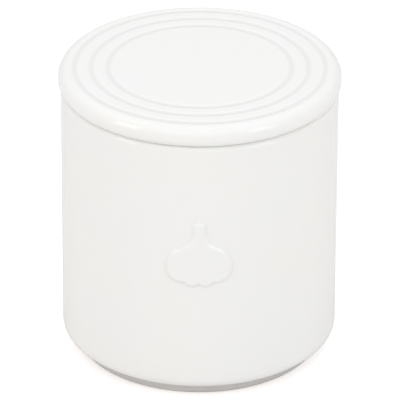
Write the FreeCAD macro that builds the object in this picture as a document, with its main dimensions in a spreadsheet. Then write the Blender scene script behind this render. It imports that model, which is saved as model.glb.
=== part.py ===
import FreeCAD, Part
import math
import os
import Sketcher

# Garlic keeper: a glazed stoneware jar and the lid that lifts off it, in millimetres.
# The origin is the centre of the plane that the foot rests on, +Z is up, and the emblem faces -Y.

# Driving sizes. Each one can be changed by itself.
SIZES = [
    ("jar_radius", 53.0),
    ("jar_height", 108.6),
    ("wall_thickness", 5.5),
    ("floor_thickness", 5.5),
    ("floor_rounding", 9.0),
    ("corner_rounding", 4.5),
    ("foot_inset", 6.0),
    ("foot_height", 4.6),
    ("foot_width", 5.0),
    ("foot_hollow", 2.6),
    ("foot_rounding", 1.2),
    ("mouth_outer_rounding", 2.2),
    ("mouth_inner_rounding", 1.4),
    ("lid_overhang", 1.0),
    ("lid_rim_thickness", 8.0),
    ("lid_top_rounding", 4.0),
    ("lid_under_rounding", 3.0),
    ("lid_plate_thickness", 5.6),
    ("plug_clearance", 1.3),
    ("plug_depth", 9.0),
    ("plug_thickness", 4.6),
    ("plug_rounding", 1.3),
    ("plug_root_rounding", 2.0),
    ("ring_outer_margin", 6.3),
    ("ring_spacing", 6.4),
    ("ring_width", 2.0),
    ("ring_depth", 0.55),
    ("ring_lip_rounding", 0.5),
    ("emblem_base", 49.9),
    ("emblem_width", 25.2),
    ("emblem_height", 26.0),
    ("emblem_relief", 0.9),
    ("emblem_rounding", 0.35),
    ("vent_diameter", 6.0),
    ("vent_height", 58.0),
    ("vent_angle", 13.0),
    ("vent_count", 5),
    ("vent_rounding", 0.7),
]

# Sizes that follow from the driving ones.
LID_RADIUS = "(sizes.jar_radius + sizes.lid_overhang)"
BORE_RADIUS = "(sizes.jar_radius - sizes.wall_thickness)"
PLUG_RADIUS = "(sizes.jar_radius - sizes.wall_thickness - sizes.plug_clearance)"
FOOT_RADIUS = "(sizes.jar_radius - sizes.foot_inset)"
LID_TOP = "(sizes.jar_height + sizes.lid_rim_thickness)"
FLOOR_HEIGHT = "(sizes.foot_height + sizes.floor_thickness)"
EMBLEM_RADIUS = "(sizes.jar_radius + sizes.emblem_relief)"

RING_COUNT = 3

# The emblem is a plain garlic bulb. Each place is a share of its half width and of its height.
ROOT_NOTCH = (0.0, 0.04)
LOBE = (0.24, 0.0)
LOBE_NOTCH = (0.45, 0.06)
BELLY_LOW = (0.80, 0.095)
BELLY = (1.0, 0.30)
BELLY_HIGH = (0.89, 0.478)
SHOULDER = (0.62, 0.58)
NECK_CURVE = (0.32, 0.672)
NECK = (0.165, 0.80)
STEM_SIDE = (0.175, 0.955)
STEM_TOP = (0.0, 1.0)

POINT_ERROR = 1e-4
END_NUMBERS = {"start": 1, "end": 2, "centre": 3}


def make_sheet(doc):
    sheet = doc.addObject("Spreadsheet::Sheet", "sizes")
    for row, (name, value) in enumerate(SIZES, start=1):
        sheet.set(f"A{row}", name)
        sheet.set(f"B{row}", str(value))
        sheet.setAlias(f"B{row}", name)
    doc.recompute()
    return sheet


def number(thing, formula):
    """What a formula of sheet cells comes to."""
    return float(thing.evalExpression(formula))


def origin_feature(body, role):
    for feature in body.Origin.OriginFeatures:
        if feature.Role == role:
            return feature
    raise ValueError(role)


def new_sketch(body, name):
    """A sketch on the body's front plane: its first axis is X and its second is Z."""
    sketch = body.newObject("Sketcher::SketchObject", name)
    sketch.AttachmentSupport = [(origin_feature(body, "XZ_Plane"), "")]
    sketch.MapMode = "FlatFace"
    return sketch


def pin(sketch, geometry, end, place):
    """Holds one point of a sketch at a place given by two formulas."""
    point = END_NUMBERS[end]
    across, up = place
    for kind, formula, axis in (("DistanceX", across, -2), ("DistanceY", up, -1)):
        if formula == "0":
            sketch.addConstraint(Sketcher.Constraint("PointOnObject", geometry, point, axis))
            continue
        value = number(sketch, formula)
        index = sketch.addConstraint(Sketcher.Constraint(kind, -1, 1, geometry, point, value))
        sketch.setExpression(f"Constraints[{index}]", formula)


def place_of(sketch, place):
    return FreeCAD.Vector(number(sketch, place[0]), number(sketch, place[1]), 0)


def draw_outline(sketch, places):
    """A closed outline. A step is a place for a line, or two places for an arc through one to the next."""
    ends = [step[-1] if isinstance(step, list) else step for step in places]
    joints = []
    for index, step in enumerate(places):
        begin = place_of(sketch, ends[index - 1])
        finish = place_of(sketch, ends[index])
        if isinstance(step, list):
            middle = place_of(sketch, step[0])
            drawn = sketch.addGeometry(Part.Arc(begin, middle, finish), False)
            helper = sketch.addGeometry(Part.Point(middle), True)
            pin(sketch, helper, "start", step[0])
            start = END_NUMBERS["start"]
            sketch.addConstraint(Sketcher.Constraint("PointOnObject", helper, start, drawn))
        else:
            drawn = sketch.addGeometry(Part.LineSegment(begin, finish), False)
        first = sketch.getPoint(drawn, END_NUMBERS["start"])
        forward = first.distanceToPoint(begin) < POINT_ERROR
        joints.append((drawn, "start", "end") if forward else (drawn, "end", "start"))
    for index, (drawn, start, end) in enumerate(joints):
        before, _, before_end = joints[index - 1]
        pair = (before, END_NUMBERS[before_end], drawn, END_NUMBERS[start])
        sketch.addConstraint(Sketcher.Constraint("Coincident", *pair))
        pin(sketch, drawn, end, ends[index])


def turn(body, kind, name, sketch):
    """A full turn of a sketch about Z: a Revolution adds it and a Groove cuts it."""
    feature = body.newObject(kind, name)
    feature.Profile = sketch
    feature.ReferenceAxis = (origin_feature(body, "Z_Axis"), [""])
    feature.Angle = 360.0
    body.Document.recompute()
    return feature


def circles_at(shape, places):
    """Names of the full circles about Z that have these radii and heights."""
    names = []
    for index, edge in enumerate(shape.Edges, start=1):
        if not isinstance(edge.Curve, Part.Circle):
            continue
        centre = edge.Curve.Center
        if math.hypot(centre.x, centre.y) > POINT_ERROR:
            continue
        for radius, height in places:
            if abs(edge.Curve.Radius - radius) < POINT_ERROR and abs(centre.z - height) < POINT_ERROR:
                names.append(f"Edge{index}")
    return names


def round_edges(body, name, base, edges, radius):
    fillet = body.newObject("PartDesign::Fillet", name)
    fillet.Base = (base, edges)
    fillet.setExpression("Radius", radius)
    body.Document.recompute()
    return fillet


def round_circles(body, name, base, places, radius):
    """Rounds the circles at places given by formulas of radius and height."""
    found = [(number(base, across), number(base, up)) for across, up in places]
    return round_edges(body, name, base, circles_at(base.Shape, found), radius)


def edges_on_wall(shape, radius, low, high, half_width):
    """Names of the edges that lie on the upright cylinder of this radius inside the emblem's window."""
    names = []
    for index, edge in enumerate(shape.Edges, start=1):
        first, last = edge.ParameterRange
        share = (0.0, 0.25, 0.5, 0.75, 1.0)
        points = [edge.valueAt(first + part * (last - first)) for part in share]
        on_wall = all(abs(math.hypot(p.x, p.y) - radius) < POINT_ERROR for p in points)
        inside = all(low < p.z < high and abs(p.x) < half_width and p.y < 0 for p in points)
        if on_wall and inside:
            names.append(f"Edge{index}")
    return names


def jar_outside(body):
    """The solid outer form: foot, upright wall and flat mouth, with the hollow under the foot."""
    sketch = new_sketch(body, "outside_outline")
    hollow_radius = f"{FOOT_RADIUS} - sizes.foot_width"
    draw_outline(sketch, [
        ("0", "sizes.foot_hollow"),
        (hollow_radius, "sizes.foot_hollow"),
        (hollow_radius, "0"),
        (FOOT_RADIUS, "0"),
        (FOOT_RADIUS, "sizes.foot_height"),
        ("sizes.jar_radius", "sizes.foot_height"),
        ("sizes.jar_radius", "sizes.jar_height"),
        ("0", "sizes.jar_height"),
    ])
    return turn(body, "PartDesign::Revolution", "outside", sketch)


def bulb_places():
    """The bulb's outline, up its right side and down its left, as formulas."""
    def spot(side, place):
        across = f"{side * place[0]} * sizes.emblem_width / 2" if place[0] else "0"
        return (across, f"sizes.emblem_base + {place[1]} * sizes.emblem_height")
    return [
        [spot(1, LOBE), spot(1, LOBE_NOTCH)],
        [spot(1, BELLY_LOW), spot(1, BELLY)],
        [spot(1, BELLY_HIGH), spot(1, SHOULDER)],
        [spot(1, NECK_CURVE), spot(1, NECK)],
        spot(1, STEM_SIDE),
        [spot(1, STEM_TOP), spot(-1, STEM_SIDE)],
        spot(-1, NECK),
        [spot(-1, NECK_CURVE), spot(-1, SHOULDER)],
        [spot(-1, BELLY_HIGH), spot(-1, BELLY)],
        [spot(-1, BELLY_LOW), spot(-1, LOBE_NOTCH)],
        [spot(-1, LOBE), spot(1, ROOT_NOTCH)],
    ]


def raise_emblem(doc, outside):
    """The bulb stands out of the wall by its relief and follows the wall's curve."""
    block = doc.addObject("PartDesign::Body", "bulb_block")
    sketch = new_sketch(block, "bulb_outline")
    draw_outline(sketch, bulb_places())
    pad = block.newObject("PartDesign::Pad", "bulb_length")
    pad.Profile = sketch
    pad.setExpression("Length", f"{EMBLEM_RADIUS} * 1.2")
    face = doc.addObject("Part::Cylinder", "bulb_face")
    face.setExpression("Radius", EMBLEM_RADIUS)
    face.setExpression("Height", "sizes.jar_height")
    relief = doc.addObject("Part::MultiCommon", "bulb_relief")
    relief.Shapes = [block, face]
    whole = doc.addObject("Part::MultiFuse", "jar_with_bulb")
    whole.Shapes = [outside, relief]
    doc.recompute()
    return whole


def soften_emblem(body, base):
    """Rounds the bulb's outer edges and the edges where it meets the wall."""
    low = number(base, "sizes.emblem_base - sizes.emblem_width / 4")
    high = number(base, "sizes.emblem_base + sizes.emblem_height + sizes.emblem_width / 4")
    window = (low, high, number(base, "sizes.emblem_width"))
    edges = edges_on_wall(base.Shape, number(base, EMBLEM_RADIUS), *window)
    brow = round_edges(body, "bulb_brow", base, edges, "sizes.emblem_rounding")
    edges = edges_on_wall(brow.Shape, number(brow, "sizes.jar_radius"), *window)
    return round_edges(body, "bulb_root", brow, edges, "sizes.emblem_rounding")


def hollow_jar(body):
    """The cavity that holds the bulbs, open at the mouth, with a rounded floor corner."""
    sketch = new_sketch(body, "cavity_outline")
    draw_outline(sketch, [
        ("0", FLOOR_HEIGHT),
        (BORE_RADIUS, FLOOR_HEIGHT),
        (BORE_RADIUS, "sizes.jar_height"),
        ("0", "sizes.jar_height"),
    ])
    return turn(body, "PartDesign::Groove", "cavity", sketch)


def pierce_vents(body):
    """A row of round air holes through the back of the wall."""
    sketch = new_sketch(body, "vent_outline")
    hole = sketch.addGeometry(Part.Circle(FreeCAD.Vector(0, 1, 0), FreeCAD.Vector(0, 0, 1), 1), False)
    pin(sketch, hole, "centre", ("0", "sizes.vent_height"))
    size = sketch.addConstraint(Sketcher.Constraint("Radius", hole, 1))
    sketch.setExpression(f"Constraints[{size}]", "sizes.vent_diameter / 2")
    upright = FreeCAD.Rotation(FreeCAD.Vector(0, 1, 0), 1)
    sketch.AttachmentOffset = FreeCAD.Placement(FreeCAD.Vector(), upright)
    half_row = "(sizes.vent_count - 1) / 2 * sizes.vent_angle"
    sketch.setExpression("AttachmentOffset.Rotation.Angle", f"-{half_row}")
    pocket = body.newObject("PartDesign::Pocket", "first_vent")
    pocket.Profile = sketch
    pocket.setExpression("Length", "sizes.jar_radius * 1.2")
    body.Document.recompute()
    row = body.newObject("PartDesign::PolarPattern", "vents")
    row.Originals = [pocket]
    row.Axis = (origin_feature(body, "Z_Axis"), [""])
    row.setExpression("Angle", "(sizes.vent_count - 1) * sizes.vent_angle")
    row.setExpression("Occurrences", "sizes.vent_count")
    body.Tip = row
    body.Document.recompute()
    return soften_vents(body, row)


def soften_vents(body, base):
    """Rounds the air holes' outer and inner rims."""
    low = number(base, "sizes.vent_height - sizes.vent_diameter")
    high = number(base, "sizes.vent_height + sizes.vent_diameter")
    names = []
    for wall in (number(base, "sizes.jar_radius"), number(base, BORE_RADIUS)):
        for index, edge in enumerate(base.Shape.Edges, start=1):
            first, last = edge.ParameterRange
            points = [edge.valueAt(first + part * (last - first)) for part in (0.0, 0.3, 0.6)]
            on_wall = all(abs(math.hypot(p.x, p.y) - wall) < POINT_ERROR for p in points)
            if on_wall and all(low < p.z < high and p.y > 0 for p in points):
                names.append(f"Edge{index}")
    return round_edges(body, "vent_rims", base, names, "sizes.vent_rounding")


def make_jar(doc):
    outside = doc.addObject("PartDesign::Body", "jar_outside")
    jar_outside(outside)
    body = doc.addObject("PartDesign::Body", "jar")
    body.Label = "jar"
    body.BaseFeature = raise_emblem(doc, outside)
    doc.recompute()
    feature = soften_emblem(body, body.Group[0])
    base = round_circles(body, "base_corner", feature, [
        ("sizes.jar_radius", "sizes.foot_height"),
    ], "sizes.corner_rounding")
    cavity = hollow_jar(body)
    floor = round_circles(body, "floor_corner", cavity, [
        (BORE_RADIUS, FLOOR_HEIGHT),
    ], "sizes.floor_rounding")
    outer = round_circles(body, "mouth_outside", floor, [
        ("sizes.jar_radius", "sizes.jar_height"),
    ], "sizes.mouth_outer_rounding")
    inner = round_circles(body, "mouth_inside", outer, [
        (BORE_RADIUS, "sizes.jar_height"),
    ], "sizes.mouth_inner_rounding")
    round_circles(body, "foot_edges", inner, [
        (FOOT_RADIUS, "0"),
        (f"{FOOT_RADIUS} - sizes.foot_width", "0"),
    ], "sizes.foot_rounding")
    pierce_vents(body)
    return body


def make_lid(doc):
    """The lid: a flat plate with a rounded rim, a plug that drops into the mouth and three ring grooves."""
    body = doc.addObject("PartDesign::Body", "lid")
    body.Label = "lid"
    sketch = new_sketch(body, "lid_outline")
    plate_under = f"{LID_TOP} - sizes.lid_plate_thickness"
    plug_bottom = "sizes.jar_height - sizes.plug_depth"
    plug_inside = f"{PLUG_RADIUS} - sizes.plug_thickness"
    draw_outline(sketch, [
        ("0", plate_under),
        (plug_inside, plate_under),
        (plug_inside, plug_bottom),
        (PLUG_RADIUS, plug_bottom),
        (PLUG_RADIUS, "sizes.jar_height"),
        (LID_RADIUS, "sizes.jar_height"),
        (LID_RADIUS, LID_TOP),
        ("0", LID_TOP),
    ])
    feature = turn(body, "PartDesign::Revolution", "lid_form", sketch)
    rounds = [
        ("rim_top", [(LID_RADIUS, LID_TOP)], "sizes.lid_top_rounding"),
        ("rim_under", [(LID_RADIUS, "sizes.jar_height")], "sizes.lid_under_rounding"),
        ("plug_edges", [(PLUG_RADIUS, plug_bottom), (plug_inside, plug_bottom)], "sizes.plug_rounding"),
        ("plug_root", [(plug_inside, plate_under)], "sizes.plug_root_rounding"),
    ]
    for name, places, radius in rounds:
        feature = round_circles(body, name, feature, places, radius)
    return cut_rings(body)


def cut_rings(body):
    """Three round-bottomed grooves about the lid's centre, with softened lips."""
    cutter = "((sizes.ring_width / 2) ^ 2 + sizes.ring_depth ^ 2) / (2 * sizes.ring_depth)"
    sketch = new_sketch(body, "ring_outline")
    for index in range(RING_COUNT):
        middle = f"{LID_RADIUS} - sizes.ring_outer_margin - {index} * sizes.ring_spacing"
        start = FreeCAD.Vector(number(body, middle), number(body, LID_TOP), 0)
        hole = sketch.addGeometry(Part.Circle(start, FreeCAD.Vector(0, 0, 1), 1), False)
        pin(sketch, hole, "centre", (middle, f"{LID_TOP} - sizes.ring_depth + {cutter}"))
        size = sketch.addConstraint(Sketcher.Constraint("Radius", hole, 1))
        sketch.setExpression(f"Constraints[{size}]", cutter)
    rings = turn(body, "PartDesign::Groove", "ring_grooves", sketch)
    lips = []
    for index in range(RING_COUNT):
        middle = f"{LID_RADIUS} - sizes.ring_outer_margin - {index} * sizes.ring_spacing"
        lips.append((f"{middle} - sizes.ring_width / 2", LID_TOP))
        lips.append((f"{middle} + sizes.ring_width / 2", LID_TOP))
    round_circles(body, "ring_lips", rings, lips, "sizes.ring_lip_rounding")
    return body


def check(doc, bodies):
    for item in doc.Objects:
        if "Invalid" in item.State or "Error" in item.State:
            raise RuntimeError(f"{item.Name} failed: {item.State}")
    for body in bodies:
        if body.Shape.isNull() or not body.Shape.isValid() or len(body.Shape.Solids) != 1:
            raise RuntimeError(f"{body.Label} has no sound single solid")


def main():
    doc = FreeCAD.newDocument("garlic_keeper")
    make_sheet(doc)
    bodies = [make_jar(doc), make_lid(doc)]
    doc.recompute()
    check(doc, bodies)
    os.makedirs("parts", exist_ok=True)
    for body in bodies:
        body.Shape.exportStep(f"parts/{body.Label}.step")
        box = body.Shape.BoundBox
        print(f"{body.Label}: volume {body.Shape.Volume:.0f} mm3, Z {box.ZMin:.2f} to {box.ZMax:.2f}")


main()
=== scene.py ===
import math

import bmesh
import bpy
import numpy as np
from mathutils import Matrix, Vector


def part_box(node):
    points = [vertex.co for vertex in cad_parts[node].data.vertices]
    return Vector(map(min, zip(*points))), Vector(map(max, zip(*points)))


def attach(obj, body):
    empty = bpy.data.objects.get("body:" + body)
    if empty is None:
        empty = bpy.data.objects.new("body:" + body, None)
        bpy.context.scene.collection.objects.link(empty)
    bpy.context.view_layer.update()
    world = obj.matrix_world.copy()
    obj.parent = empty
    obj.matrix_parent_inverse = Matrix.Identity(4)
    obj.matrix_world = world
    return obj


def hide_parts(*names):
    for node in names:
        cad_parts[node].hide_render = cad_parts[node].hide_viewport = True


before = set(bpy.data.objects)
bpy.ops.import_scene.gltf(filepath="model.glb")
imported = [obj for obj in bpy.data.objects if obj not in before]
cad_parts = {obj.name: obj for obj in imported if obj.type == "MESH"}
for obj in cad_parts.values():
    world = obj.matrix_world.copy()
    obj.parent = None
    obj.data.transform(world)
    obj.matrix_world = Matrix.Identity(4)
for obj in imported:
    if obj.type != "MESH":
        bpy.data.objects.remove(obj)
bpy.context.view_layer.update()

# Garlic keeper: a glazed jar and its lid. Lengths are in millimetres until a mesh or lamp is made.
MM = 0.001

JAR_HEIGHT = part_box("jar")[1].z / MM
LID_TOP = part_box("lid")[1].z / MM
JAR_RADIUS = 53.0
LID_RADIUS = 54.0
WALL = 5.5
BORE_RADIUS = JAR_RADIUS - WALL

# Foot and floor
FOOT_RADIUS = JAR_RADIUS - 6.0
FOOT_HEIGHT = 4.6
FOOT_WIDTH = 5.0
FOOT_HOLLOW = 2.6
FOOT_ROUNDING = 1.2
FOOT_CORNER_ROUNDING = 0.8
FOOT_BARE = 0.7
# Painted shade: the glaze on the foot's side is darkened between these two heights, darkest at the lower
# one.
FOOT_SHADE_LOW = 2.8
FOOT_SHADE_HIGH = 4.6
BASE_ROUNDING = 4.5
FLOOR_TOP = FOOT_HEIGHT + 5.5
FLOOR_ROUNDING = 9.0
MOUTH_OUTSIDE_ROUNDING = 2.2
MOUTH_INSIDE_ROUNDING = 1.4

# Lid
LID_TOP_ROUNDING = 4.0
LID_UNDER_ROUNDING = 3.0
PLATE_UNDER = LID_TOP - 5.6
PLUG_RADIUS = BORE_RADIUS - 1.3
PLUG_INSIDE = PLUG_RADIUS - 4.6
PLUG_BOTTOM = JAR_HEIGHT - 9.0
PLUG_ROUNDING = 1.3
PLUG_ROOT_ROUNDING = 2.0
PLUG_NECK_ROUNDING = 0.6
RING_COUNT = 3
RING_OUTER = LID_RADIUS - 6.3
RING_SPACING = 6.4
RING_HALF_WIDTH = 2.0
RING_DEPTH = 0.25
# How far the ring grooves are painted darker: pooled glaze and painted shade.
RING_POOL_AND_SHADE = 0.36
SEAT_INSIDE = PLUG_RADIUS + 0.9
SEAT_OUTSIDE = LID_RADIUS - LID_UNDER_ROUNDING - 0.2
SEAT_ERROR = 0.05

# Raised bulb. Its places are shares of its half width and height.
BULB_BASE = 50.3
BULB_WIDTH = 24.2
BULB_HEIGHT = 26.6
BULB_RELIEF = 0.9
BULB_SHOULDER = 1.0
BULB_MARGIN = 2.5
BULB_TURN = 0.25
BULB_TURN_PLACE = 0.55
BULB_TURN_SPREAD = 0.45
ROOT_NOTCH = (0.0, 0.04)
LOBE = (0.24, 0.0)
LOBE_NOTCH = (0.45, 0.06)
BELLY_LOW = (0.80, 0.095)
BELLY = (1.0, 0.30)
BELLY_HIGH = (0.89, 0.478)
SHOULDER = (0.62, 0.58)
NECK_CURVE = (0.32, 0.672)
NECK = (0.165, 0.80)
STEM_SIDE = (0.175, 0.955)
STEM_TOP = (0.0, 1.0)

# Air holes at the back
VENT_COUNT = 5
VENT_RADIUS = 3.0
VENT_ROUNDING = 0.7
VENT_TURN = 0.7
VENT_HEIGHT = 58.0
VENT_ANGLE = math.radians(13.0)
VENT_CELL_HALF = 6.0
VENT_COLUMNS = 24
VENT_LOOPS = 5

# Mesh spacing
FINE_ROW = 0.25
COARSE_ROW = 2.0
FINE_COLUMN = math.radians(0.25)
COARSE_COLUMN = math.radians(1.2)
LID_COLUMNS = 360
ARC_STEPS = 8
TURN_REACH = 1.2

# Camera, worked out from the ellipses of the lid and the foot in the photograph
CAMERA_AIM = Vector((0.24, 0.0, 58.7)) * MM
CAMERA_CENTRE = Vector((0.0, 0.0, 52.2)) * MM
CAMERA_DISTANCE = 1836.0 * MM
CAMERA_ELEVATION = math.radians(28.175)
CAMERA_AZIMUTH = math.radians(0.05)
CAMERA_ROLL = math.radians(0.247)
FOCAL_PIXELS = 4757.0
IMAGE_PIXELS = 400
SENSOR_WIDTH = 36.0
CLIP_END = 20.0

# Sky, lamps and floor. Each lamp has a name, its angle round from the front, its angle up, its size in
# metres, its brightness and its colour.
SKY_LOW_GLOW = 0.66
SKY_TOP_GLOW = 1.13
LAMP_AIM = Vector((0, 0, 0.06))
LAMP_DISTANCE = 1.75
LAMPS = [
    ("left", -60.0, 22.0, (0.6, 0.8), 2.1, (1.0, 0.965, 0.935)),
    ("right", 50.0, 22.0, (0.6, 0.8), 2.1, (0.92, 0.975, 1.0)),
    ("front", -3.0, 37.0, (1.5, 0.7), 0.5, (1.0, 1.0, 1.0)),
]
FLOOR_COLOUR = (0.84, 0.815, 0.805, 1)
FLOOR_LIFT = 0.42
FLOOR_HALF_SIZE = 3.0


def smooth_step(t):
    t = np.clip(t, 0.0, 1.0)
    return t * t * (3.0 - 2.0 * t)


def rounded(corners):
    """Points along an outline of (radius, height, rounding) corners, with an arc at each rounded one."""
    points = []
    for index, (radius, height, rounding) in enumerate(corners):
        here = np.array((radius, height))
        if rounding == 0:
            points.append(here)
            continue
        before = np.array(corners[index - 1][:2]) - here
        after = np.array(corners[index + 1][:2]) - here
        before /= np.linalg.norm(before)
        after /= np.linalg.norm(after)
        half = math.acos(float(np.dot(before, after))) / 2
        middle = before + after
        middle /= np.linalg.norm(middle)
        centre = here + middle * rounding / math.sin(half)
        first = here + before * rounding / math.tan(half) - centre
        last = here + after * rounding / math.tan(half) - centre
        sweep = math.pi - 2 * half
        for step in range(ARC_STEPS + 1):
            t = step / ARC_STEPS
            share = np.array((math.sin((1 - t) * sweep), math.sin(t * sweep))) / math.sin(sweep)
            points.append(centre + share[0] * first + share[1] * last)
    return points


def spaced(low, high, step):
    """Values from low to high, both included, no further apart than step."""
    count = max(1, math.ceil(abs(high - low) / step - 1e-6))
    return np.linspace(low, high, count + 1)


def fill_runs(points, step):
    """Adds points along the long straight runs of an outline."""
    filled = [points[0]]
    for before, after in zip(points, points[1:]):
        count = max(1, math.ceil(np.linalg.norm(after - before) / step - 1e-6))
        for index in range(1, count + 1):
            filled.append(before + (after - before) * index / count)
    return filled


def arc_through(start, middle, end, steps=16):
    """Points on the circle through three points, without the first."""
    ax, ay = start
    bx, by = middle
    cx, cy = end
    d = 2 * (ax * (by - cy) + bx * (cy - ay) + cx * (ay - by))
    a2, b2, c2 = ax * ax + ay * ay, bx * bx + by * by, cx * cx + cy * cy
    ox = (a2 * (by - cy) + b2 * (cy - ay) + c2 * (ay - by)) / d
    oy = (a2 * (cx - bx) + b2 * (ax - cx) + c2 * (bx - ax)) / d
    radius = math.hypot(ax - ox, ay - oy)
    begin = math.atan2(ay - oy, ax - ox)
    through = (math.atan2(by - oy, bx - ox) - begin) % math.tau
    sweep = (math.atan2(cy - oy, cx - ox) - begin) % math.tau
    if through > sweep:
        sweep -= math.tau
    angles = [begin + sweep * index / steps for index in range(1, steps + 1)]
    return [(ox + radius * math.cos(a), oy + radius * math.sin(a)) for a in angles]


def bulb_outline():
    """The bulb's closed outline in the front plane, in millimetres across and up."""
    def spot(side, place):
        return (side * place[0] * BULB_WIDTH / 2, BULB_BASE + place[1] * BULB_HEIGHT)
    half = arc_through(spot(1, ROOT_NOTCH), spot(1, LOBE), spot(1, LOBE_NOTCH))
    half += arc_through(spot(1, LOBE_NOTCH), spot(1, BELLY_LOW), spot(1, BELLY))
    half += arc_through(spot(1, BELLY), spot(1, BELLY_HIGH), spot(1, SHOULDER))
    half += arc_through(spot(1, SHOULDER), spot(1, NECK_CURVE), spot(1, NECK))
    half += [spot(1, STEM_SIDE)]
    tip = arc_through(spot(1, STEM_SIDE), spot(1, STEM_TOP), spot(-1, STEM_SIDE))
    mirrored = [(-across, up) for across, up in reversed(half)]
    return np.array([spot(0, ROOT_NOTCH)] + half + tip[:-1] + mirrored)


def depth_inside(across, up, outline):
    """How far each point is inside a closed outline. Points outside it are negative."""
    nearest = np.full(across.shape, np.inf)
    inside = np.zeros(across.shape, bool)
    for (ax, ay), (bx, by) in zip(outline, np.roll(outline, -1, axis=0)):
        dx, dy = bx - ax, by - ay
        t = np.clip(((across - ax) * dx + (up - ay) * dy) / (dx * dx + dy * dy), 0, 1)
        gap = np.hypot(across - ax - t * dx, up - ay - t * dy)
        nearest = np.minimum(nearest, gap)
        if dy != 0:
            crosses = (ay > up) != (by > up)
            inside ^= crosses & (across < ax + (up - ay) * dx / dy)
    return np.where(inside, nearest, -nearest)


def edge_turns(profile, side):
    """How sharply an outline turns at each of its points, where 1 is a right angle outwards."""
    profile = np.array(profile)
    along = np.concatenate(([0.0], np.cumsum(np.linalg.norm(np.diff(profile, axis=0), axis=1))))
    def at(places):
        return np.stack([np.interp(places, along, profile[:, axis]) for axis in (0, 1)], axis=1)
    before = profile - at(along - TURN_REACH)
    after = at(along + TURN_REACH) - profile
    cross = before[:, 0] * after[:, 1] - before[:, 1] * after[:, 0]
    dot = (before * after).sum(axis=1)
    return side * np.arctan2(cross, dot) / (math.pi / 2)


def jar_columns():
    """Angles about Z from the front, and the first column of each air hole's cell."""
    fine = math.asin((BULB_WIDTH / 2 + BULB_MARGIN) / JAR_RADIUS)
    vents = VENT_ANGLE * VENT_COUNT / 2
    left = list(spaced(-fine, fine, FINE_COLUMN))
    right_side = list(spaced(fine, math.pi - vents, COARSE_COLUMN))[1:]
    back = list(np.linspace(math.pi - vents, math.pi + vents, VENT_COLUMNS * VENT_COUNT + 1))[1:]
    left_side = list(spaced(math.pi + vents, math.tau - fine, COARSE_COLUMN))[1:-1]
    first = len(left) + len(right_side) - 1
    starts = [first + VENT_COLUMNS * index for index in range(VENT_COUNT)]
    return np.array(left + right_side + back + left_side), starts


class Skin:
    """Vertices and faces of one closed surface, in millimetres."""

    def __init__(self):
        self.points = []
        self.faces = []
        self.turns = []
        self.bare = []

    def loop(self, points, turn=0.0, bare=0.0):
        """Adds a ring of points. turn is above 0 on outer edges, below 0 in hollows. bare is 1 on clay."""
        start = len(self.points)
        self.points.extend(points)
        self.turns.extend(np.broadcast_to(turn, len(points)))
        self.bare.extend(np.broadcast_to(bare, len(points)))
        return list(range(start, len(self.points)))

    def bridge(self, one, other, skip=()):
        count = len(one)
        for index in range(count):
            if index in skip:
                continue
            after = (index + 1) % count
            self.faces.append((one[index], one[after], other[after], other[index]))

    def cap(self, loop, point):
        centre = self.loop([point])[0]
        for index in range(len(loop)):
            self.faces.append((loop[index], loop[(index + 1) % len(loop)], centre))

    def make(self, name):
        mesh = bpy.data.meshes.new(name)
        mesh.from_pydata([tuple(value * MM for value in point) for point in self.points], [], self.faces)
        work = bmesh.new()
        work.from_mesh(mesh)
        bmesh.ops.recalc_face_normals(work, faces=work.faces)
        work.to_mesh(mesh)
        work.free()
        mesh.polygons.foreach_set("use_smooth", [True] * len(mesh.polygons))
        for label, values in (("edge_turn", self.turns), ("bare_clay", self.bare)):
            attribute = mesh.attributes.new(label, "FLOAT", "POINT")
            attribute.data.foreach_set("value", np.array(values, np.float32))
        piece = bpy.data.objects.new(name, mesh)
        bpy.context.scene.collection.objects.link(piece)
        return piece


def circle_points(radius, height, angles):
    radius = np.broadcast_to(radius, angles.shape)
    return [(r * math.sin(a), -r * math.cos(a), height) for r, a in zip(radius, angles)]


def vent_patch(skin, perimeter, direction, wall, sign):
    """Loops from a cell's edge in to an air hole's rim. Returns the last loop, inside the hole."""
    axis = np.array((math.sin(direction), -math.cos(direction)))
    side = np.array((math.cos(direction), math.sin(direction)))
    spots = np.array([skin.points[index] for index in perimeter])
    across = spots[:, :2] @ side
    up = spots[:, 2] - VENT_HEIGHT
    turn = np.arctan2(up, across)

    def placed(a, b, inset):
        out = np.sqrt(wall * wall - a * a) - sign * inset
        return [tuple(axis * o + side * s) + (VENT_HEIGHT + h,) for o, s, h in zip(out, a, b)]

    rim = VENT_RADIUS + VENT_ROUNDING
    last = perimeter
    for step in range(1, VENT_LOOPS + 1):
        t = step / VENT_LOOPS
        a = across * (1 - t) + rim * np.cos(turn) * t
        b = up * (1 - t) + rim * np.sin(turn) * t
        ring = skin.loop(placed(a, b, 0.0))
        skin.bridge(last, ring)
        last = ring
    for step in range(1, ARC_STEPS + 1):
        t = step / ARC_STEPS * math.pi / 2
        radius = VENT_RADIUS + VENT_ROUNDING * (1 - math.sin(t))
        inset = VENT_ROUNDING * (1 - math.cos(t))
        ring = skin.loop(placed(radius * np.cos(turn), radius * np.sin(turn), inset), VENT_TURN)
        skin.bridge(last, ring)
        last = ring
    return last


def bulb_turn(depth):
    """The raised bulb's outer edge and the hollow at its foot, from the depth inside its outline."""
    share = depth / BULB_SHOULDER
    edge = np.exp(-((share - BULB_TURN_PLACE) / BULB_TURN_SPREAD) ** 2)
    hollow = np.exp(-((share + BULB_TURN_PLACE) / BULB_TURN_SPREAD) ** 2)
    return BULB_TURN * (edge - hollow)


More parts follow.
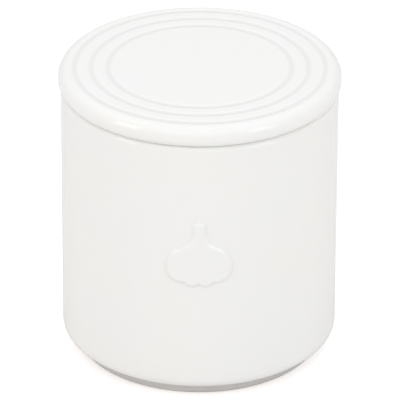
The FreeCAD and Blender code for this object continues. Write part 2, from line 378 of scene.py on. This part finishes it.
def make_jar():
    fine_low = min(BULB_BASE - BULB_MARGIN, VENT_HEIGHT - VENT_CELL_HALF)
    fine_high = BULB_BASE + BULB_HEIGHT + BULB_MARGIN
    fine_rows = np.arange(fine_low, fine_high + FINE_ROW / 2, FINE_ROW)
    outside = rounded([
        (0.0, FOOT_HOLLOW, 0),
        (FOOT_RADIUS - FOOT_WIDTH, FOOT_HOLLOW, FOOT_CORNER_ROUNDING),
        (FOOT_RADIUS - FOOT_WIDTH, 0.0, FOOT_ROUNDING),
        (FOOT_RADIUS, 0.0, FOOT_ROUNDING),
        (FOOT_RADIUS, FOOT_HEIGHT, FOOT_CORNER_ROUNDING),
        (JAR_RADIUS, FOOT_HEIGHT, BASE_ROUNDING),
        (JAR_RADIUS, fine_low, 0),
    ])
    wall = [np.array((JAR_RADIUS, height)) for height in fine_rows]
    mouth = rounded([
        (JAR_RADIUS, fine_rows[-1], 0),
        (JAR_RADIUS, JAR_HEIGHT, MOUTH_OUTSIDE_ROUNDING),
        (BORE_RADIUS, JAR_HEIGHT, MOUTH_INSIDE_ROUNDING),
        (BORE_RADIUS, fine_rows[-1], 0),
    ])
    inside = [np.array((BORE_RADIUS, height)) for height in fine_rows[::-1]]
    floor = rounded([
        (BORE_RADIUS, fine_low, 0),
        (BORE_RADIUS, FLOOR_TOP, FLOOR_ROUNDING),
        (0.0, FLOOR_TOP, 0),
    ])
    parts = [fill_runs(outside, COARSE_ROW), wall[1:], fill_runs(mouth, COARSE_ROW)[1:]]
    outer_start = len(parts[0]) - 1
    inner_start = sum(len(part) for part in parts) - 1
    parts += [inside[1:], fill_runs(floor, COARSE_ROW)[1:]]
    profile = [point for part in parts for point in part]
    angles, starts = jar_columns()
    outline = bulb_outline()

    low_row = int(round((VENT_HEIGHT - VENT_CELL_HALF - fine_low) / FINE_ROW))
    rows = int(round(2 * VENT_CELL_HALF / FINE_ROW))
    high_row = len(fine_rows) - 1 - low_row
    bands = {
        "outer": (outer_start + low_row, outer_start + low_row + rows),
        "inner": (inner_start + high_row - rows, inner_start + high_row),
    }
    cells = {start + index for start in starts for index in range(VENT_COLUMNS)}

    skin = Skin()
    loops = []
    turns = edge_turns(profile, 1)
    for index, (radius, height) in enumerate(profile[1:-1], start=1):
        raised = radius
        turn = turns[index]
        if outer_start <= index < outer_start + len(fine_rows):
            across = JAR_RADIUS * np.sin(angles)
            front = np.cos(angles) > 0
            depth = depth_inside(across, np.full(angles.shape, height), outline)
            lift = BULB_RELIEF * smooth_step(0.5 + depth / BULB_SHOULDER / 2)
            raised = radius + np.where(front, lift, 0.0)
            turn = turn + np.where(front, bulb_turn(depth), 0.0)
        bare = float(height < FOOT_BARE and radius > FOOT_RADIUS - FOOT_WIDTH - 1)
        loops.append(skin.loop(circle_points(raised, height, angles), turn, bare))
    for index, (one, other) in enumerate(zip(loops, loops[1:]), start=1):
        in_band = any(first <= index < last for first, last in bands.values())
        skin.bridge(one, other, cells if in_band else ())
    skin.cap(loops[0], (0.0, 0.0, profile[0][1]))
    skin.cap(loops[-1], (0.0, 0.0, profile[-1][1]))

    for number, start in enumerate(starts):
        direction = math.pi + (number - (VENT_COUNT - 1) / 2) * VENT_ANGLE
        ends = []
        for name, wall_radius, sign in (("outer", JAR_RADIUS, 1), ("inner", BORE_RADIUS, -1)):
            first, last = bands[name]
            perimeter = cell_edge(loops, first - 1, last - 1, start, name == "inner")
            ends.append(vent_patch(skin, perimeter, direction, wall_radius, sign))
        skin.bridge(ends[0], ends[1])
    return skin.make("glazed_jar")


def cell_edge(loops, first, last, start, upside_down):
    """Vertices round an air hole's cell, from its low corner, always in the same turning order."""
    if upside_down:
        first, last = last, first
    step = 1 if last > first else -1
    low = [loops[first][start + index] for index in range(VENT_COLUMNS)]
    right = [loops[row][start + VENT_COLUMNS] for row in range(first, last, step)]
    high = [loops[last][start + VENT_COLUMNS - index] for index in range(VENT_COLUMNS)]
    left = [loops[row][start] for row in range(last, first, -step)]
    return low + right + high + left


def ring_bell(radius):
    """How far into a ring groove a radius is, from 0 on the flat to 1 at the middle of a groove."""
    middles = RING_OUTER - RING_SPACING * np.arange(RING_COUNT)
    offset = np.clip(np.abs(radius - middles).min() / RING_HALF_WIDTH, 0, 1)
    return 0.5 + 0.5 * math.cos(math.pi * offset)


def make_lid():
    ring_edge = RING_OUTER + RING_HALF_WIDTH
    ring_inner = RING_OUTER - (RING_COUNT - 1) * RING_SPACING - RING_HALF_WIDTH
    radii = spaced(ring_inner, ring_edge, FINE_ROW)
    top = [np.array((radius, LID_TOP - RING_DEPTH * ring_bell(radius))) for radius in radii]
    rim = rounded([
        (ring_edge, LID_TOP, 0),
        (LID_RADIUS, LID_TOP, LID_TOP_ROUNDING),
        (LID_RADIUS, JAR_HEIGHT, LID_UNDER_ROUNDING),
        (PLUG_RADIUS, JAR_HEIGHT, PLUG_NECK_ROUNDING),
        (PLUG_RADIUS, PLUG_BOTTOM, PLUG_ROUNDING),
        (PLUG_INSIDE, PLUG_BOTTOM, PLUG_ROUNDING),
        (PLUG_INSIDE, PLATE_UNDER, PLUG_ROOT_ROUNDING),
        (0.0, PLATE_UNDER, 0),
    ])
    middle = fill_runs([np.array((0.0, LID_TOP)), top[0]], COARSE_ROW)
    profile = middle[:-1] + top + fill_runs(rim, COARSE_ROW)[1:]
    angles = np.linspace(0, math.tau, LID_COLUMNS + 1)[:-1]
    skin = Skin()
    loops = []
    for (radius, height), turn in zip(profile[1:-1], edge_turns(profile, -1)[1:-1]):
        on_seat = abs(height - JAR_HEIGHT) < SEAT_ERROR and SEAT_INSIDE < radius < SEAT_OUTSIDE
        # The ring grooves get a negative turn, which paints them darker: pooled glaze and painted shade.
        if height > PLATE_UNDER + RING_DEPTH and radius < ring_edge:
            turn = -RING_POOL_AND_SHADE * ring_bell(radius)
        loops.append(skin.loop(circle_points(radius, height, angles), turn, float(on_seat)))
    for one, other in zip(loops, loops[1:]):
        skin.bridge(one, other)
    skin.cap(loops[0], (0.0, 0.0, profile[0][1]))
    skin.cap(loops[-1], (0.0, 0.0, profile[-1][1]))
    return skin.make("glazed_lid")


def new_material(name):
    material = bpy.data.materials.new(name)
    material.use_nodes = True
    tree = material.node_tree
    tree.nodes.clear()
    return material, tree


class Nodes:
    """Short calls for adding and joining the nodes of one material."""

    def __init__(self, tree):
        self.tree = tree

    def add(self, kind, settings=None, **inputs):
        node = self.tree.nodes.new(kind)
        for key, value in (settings or {}).items():
            setattr(node, key, value)
        for key, value in inputs.items():
            self.feed(node.inputs[key.replace("_", " ")], value)
        return node

    def feed(self, socket, value):
        if isinstance(value, bpy.types.NodeSocket):
            self.tree.links.new(value, socket)
        else:
            socket.default_value = value

    def math(self, operation, *values):
        node = self.tree.nodes.new("ShaderNodeMath")
        node.operation = operation
        for socket, value in zip(node.inputs, values):
            self.feed(socket, value)
        return node.outputs[0]

    def blend(self, share, first, second):
        node = self.tree.nodes.new("ShaderNodeMix")
        node.data_type = "RGBA"
        sockets = [item for item in node.inputs if item.enabled]
        for socket, value in zip(sockets, (share, first, second)):
            self.feed(socket, value)
        return next(item for item in node.outputs if item.enabled)

    def noise(self, place, size_mm, detail=2.0, roughness=0.5):
        scale = 1.0 / (size_mm * MM)
        node = self.add("ShaderNodeTexNoise", Vector=place, Scale=scale, Detail=detail, Roughness=roughness)
        return node.outputs["Fac"]

    def ramp(self, value, low, high):
        node = self.add("ShaderNodeMapRange", {"interpolation_type": "SMOOTHSTEP"}, Value=value)
        node.inputs["From Min"].default_value = low
        node.inputs["From Max"].default_value = high
        return node.outputs["Result"]

    def bump(self, height, depth_mm, normal=None):
        node = self.add("ShaderNodeBump", Height=height, Strength=1.0, Distance=depth_mm * MM)
        if normal is not None:
            self.feed(node.inputs["Normal"], normal)
        return node.outputs["Normal"]


GLAZE = (0.88, 0.878, 0.860, 1)
GLAZE_COOL = (0.874, 0.878, 0.870, 1)
GLAZE_THIN = (0.86, 0.84, 0.80, 1)
# Pooled glaze colour, also painted shade in hollows and grooves.
POOLED_GLAZE_AND_SHADE = (0.79, 0.80, 0.785, 1)
PINHOLE = (0.66, 0.62, 0.55, 1)
# Painted shade colour for the foot's side.
FOOT_PAINTED_SHADE = (0.655, 0.64, 0.63, 1)
CLAY = (0.74, 0.69, 0.60, 1)
CLAY_DARK = (0.64, 0.585, 0.49, 1)

# Sizes and depths of the glaze's and the clay's detail, in millimetres
BROAD_TONE_SIZE = 38.0
PATCH_SIZE = 7.0
WAVE_SIZE = 14.0
WAVE_DEPTH = 0.05
PEEL_SIZE = 1.6
PEEL_DEPTH = 0.002
PINHOLE_SPACING = 5.5
PINHOLE_GROUP_SIZE = 11.0
PINHOLE_DEPTH = 0.02
GRAIN_SIZE = 0.45
GRAIN_DEPTH = 0.06
RAGGED_SIZE = 1.8

# Gloss. The roughness changes by its span from patch to patch and grows where the glaze is thin.
GLAZE_IOR = 1.5
GLAZE_ROUGHNESS = 0.055
GLAZE_ROUGHNESS_SPAN = 0.05
THIN_ROUGHNESS = 0.08
CLAY_ROUGHNESS = 0.88
CLAY_SPECULAR = 0.3
GLAZE_DEPTH_SHARE = 0.08
GLAZE_DEPTH_RADIUS = (1.0, 0.9, 0.75)
GLAZE_DEPTH_SCALE = 1.2


def ceramic_material():
    """White glaze that thins on edges and pools in hollows, with painted shade in hollows, grooves and on
    the foot's side, over clay that is bare where it rests.
    """
    material, tree = new_material("white_glaze_on_stoneware")
    kit = Nodes(tree)
    place = kit.add("ShaderNodeTexCoord").outputs["Object"]
    turn = kit.add("ShaderNodeAttribute", {"attribute_name": "edge_turn"}).outputs["Fac"]
    bare = kit.add("ShaderNodeAttribute", {"attribute_name": "bare_clay"}).outputs["Fac"]

    broad = kit.noise(place, BROAD_TONE_SIZE)
    patchy = kit.noise(place, PATCH_SIZE, 3.0)
    colour = kit.blend(kit.ramp(broad, 0.35, 0.65), GLAZE, GLAZE_COOL)
    thin = kit.math("MULTIPLY", kit.ramp(turn, 0.12, 0.85), kit.math("MULTIPLY_ADD", patchy, 0.6, 0.25))
    colour = kit.blend(thin, colour, GLAZE_THIN)
    # Hollows and grooves are painted darker: pooled glaze and painted shade.
    hollow = kit.math("MULTIPLY", turn, -1.0)
    colour = kit.blend(kit.ramp(hollow, 0.05, 0.5), colour, POOLED_GLAZE_AND_SHADE)
    # Painted shade: the glaze is darkened towards the bottom of the foot.
    up = kit.add("ShaderNodeSeparateXYZ", Vector=place).outputs["Z"]
    low = kit.math("SUBTRACT", 1.0, kit.ramp(up, FOOT_SHADE_LOW * MM, FOOT_SHADE_HIGH * MM))
    colour = kit.blend(low, colour, FOOT_PAINTED_SHADE)
    cells = kit.add("ShaderNodeTexVoronoi", Vector=place, Scale=1.0 / (PINHOLE_SPACING * MM))
    dot = kit.math("SUBTRACT", 1.0, kit.ramp(cells.outputs["Distance"], 0.012, 0.03))
    pick = kit.math("GREATER_THAN", kit.noise(place, PINHOLE_GROUP_SIZE), 0.55)
    dot = kit.math("MULTIPLY", dot, pick)
    colour = kit.blend(kit.math("MULTIPLY", dot, 0.6), colour, PINHOLE)

    peel = kit.noise(place, PEEL_SIZE, 1.0)
    wave = kit.noise(place, WAVE_SIZE, 1.0)
    normal = kit.bump(wave, WAVE_DEPTH)
    normal = kit.bump(peel, PEEL_DEPTH, normal)
    normal = kit.bump(dot, -PINHOLE_DEPTH, normal)
    rough = kit.math("MULTIPLY_ADD", patchy, GLAZE_ROUGHNESS_SPAN, GLAZE_ROUGHNESS)
    rough = kit.math("ADD", rough, kit.math("MULTIPLY", thin, THIN_ROUGHNESS))
    glaze = kit.add("ShaderNodeBsdfPrincipled", Base_Color=colour, Roughness=rough, Normal=normal)
    glaze.inputs["IOR"].default_value = GLAZE_IOR
    glaze.inputs["Subsurface Weight"].default_value = GLAZE_DEPTH_SHARE
    glaze.inputs["Subsurface Radius"].default_value = GLAZE_DEPTH_RADIUS
    glaze.inputs["Subsurface Scale"].default_value = GLAZE_DEPTH_SCALE * MM

    grain = kit.noise(place, GRAIN_SIZE, 3.0, 0.65)
    clay_colour = kit.blend(kit.ramp(grain, 0.4, 0.62), CLAY_DARK, CLAY)
    clay = kit.add("ShaderNodeBsdfPrincipled", Base_Color=clay_colour, Roughness=CLAY_ROUGHNESS)
    kit.feed(clay.inputs["Normal"], kit.bump(grain, GRAIN_DEPTH))
    clay.inputs["Specular IOR Level"].default_value = CLAY_SPECULAR

    ragged = kit.math("MULTIPLY_ADD", kit.noise(place, RAGGED_SIZE, 3.0), 0.5, -0.25)
    edge = kit.ramp(kit.math("ADD", bare, ragged), 0.42, 0.58)
    both = kit.add("ShaderNodeMixShader", Fac=edge)
    kit.feed(both.inputs[1], glaze.outputs["BSDF"])
    kit.feed(both.inputs[2], clay.outputs["BSDF"])
    output = kit.add("ShaderNodeOutputMaterial")
    kit.feed(output.inputs["Surface"], both.outputs["Shader"])
    return material


def make_floor():
    size = FLOOR_HALF_SIZE
    mesh = bpy.data.meshes.new("floor")
    corners = [(-size, -size, 0), (size, -size, 0), (size, size, 0), (-size, size, 0)]
    mesh.from_pydata(corners, [], [(0, 1, 2, 3)])
    floor = bpy.data.objects.new("floor", mesh)
    bpy.context.scene.collection.objects.link(floor)
    material, tree = new_material("studio_floor")
    nodes, links = tree.nodes, tree.links
    output = nodes.new("ShaderNodeOutputMaterial")
    diffuse = nodes.new("ShaderNodeBsdfDiffuse")
    diffuse.inputs["Color"].default_value = FLOOR_COLOUR
    glow = nodes.new("ShaderNodeEmission")
    light_path = nodes.new("ShaderNodeLightPath")
    lift = nodes.new("ShaderNodeMath")
    lift.operation = "MULTIPLY"
    lift.inputs[1].default_value = FLOOR_LIFT
    both = nodes.new("ShaderNodeAddShader")
    links.new(light_path.outputs["Is Camera Ray"], lift.inputs[0])
    links.new(lift.outputs[0], glow.inputs["Strength"])
    links.new(diffuse.outputs["BSDF"], both.inputs[0])
    links.new(glow.outputs["Emission"], both.inputs[1])
    links.new(both.outputs["Shader"], output.inputs["Surface"])
    mesh.materials.append(material)


def add_lamp(name, place, aim, size, glow, colour):
    """An area lamp whose own surface has the brightness glow, where 1 is white."""
    data = bpy.data.lights.new(name, "AREA")
    data.shape = "RECTANGLE"
    data.size, data.size_y = size
    data.energy = math.pi * size[0] * size[1] * glow
    data.color = colour
    lamp = bpy.data.objects.new(name, data)
    lamp.location = place
    direction = Vector(aim) - Vector(place)
    lamp.rotation_euler = direction.to_track_quat("-Z", "Y").to_euler()
    bpy.context.scene.collection.objects.link(lamp)
    return lamp


def make_lights():
    world = bpy.data.worlds.new("studio")
    bpy.context.scene.world = world
    world.use_nodes = True
    background = world.node_tree.nodes["Background"]
    background.inputs["Color"].default_value = (1, 1, 1, 1)
    kit = Nodes(world.node_tree)
    direction = kit.add("ShaderNodeTexCoord").outputs["Generated"]
    height = kit.add("ShaderNodeSeparateXYZ", Vector=direction).outputs["Z"]
    share = kit.ramp(height, 0.1, 1.0)
    sky_glow = kit.math("MULTIPLY_ADD", share, SKY_TOP_GLOW - SKY_LOW_GLOW, SKY_LOW_GLOW)
    kit.feed(background.inputs["Strength"], sky_glow)
    for name, azimuth, elevation, size, glow, colour in LAMPS:
        around = math.radians(azimuth)
        up = math.radians(elevation)
        away = Vector((math.sin(around) * math.cos(up), -math.cos(around) * math.cos(up), math.sin(up)))
        add_lamp(name, LAMP_AIM + away * LAMP_DISTANCE, LAMP_AIM, size, glow, colour)


def make_camera():
    data = bpy.data.cameras.new("camera")
    data.sensor_width = SENSOR_WIDTH
    data.lens = FOCAL_PIXELS / IMAGE_PIXELS * SENSOR_WIDTH
    data.clip_end = CLIP_END
    camera = bpy.data.objects.new("camera", data)
    bpy.context.scene.collection.objects.link(camera)
    flat = math.cos(CAMERA_ELEVATION)
    away = Vector((
        math.sin(CAMERA_AZIMUTH) * flat,
        -math.cos(CAMERA_AZIMUTH) * flat,
        math.sin(CAMERA_ELEVATION),
    ))
    place = CAMERA_CENTRE + away * CAMERA_DISTANCE
    look = (CAMERA_AIM - place).to_track_quat("-Z", "Y").to_matrix().to_4x4()
    camera.matrix_world = Matrix.Translation(place) @ look @ Matrix.Rotation(CAMERA_ROLL, 4, "Z")
    bpy.context.scene.camera = camera


make_camera()
make_floor()
make_lights()
ceramic = ceramic_material()
jar = make_jar()
lid = make_lid()
for piece, body, slot in ((jar, "jar", "jar_glaze"), (lid, "lid", "lid_glaze")):
    piece.data.materials.append(ceramic)
    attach(piece, body)
    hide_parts(body)

bpy.context.scene.view_settings.view_transform = "Standard"
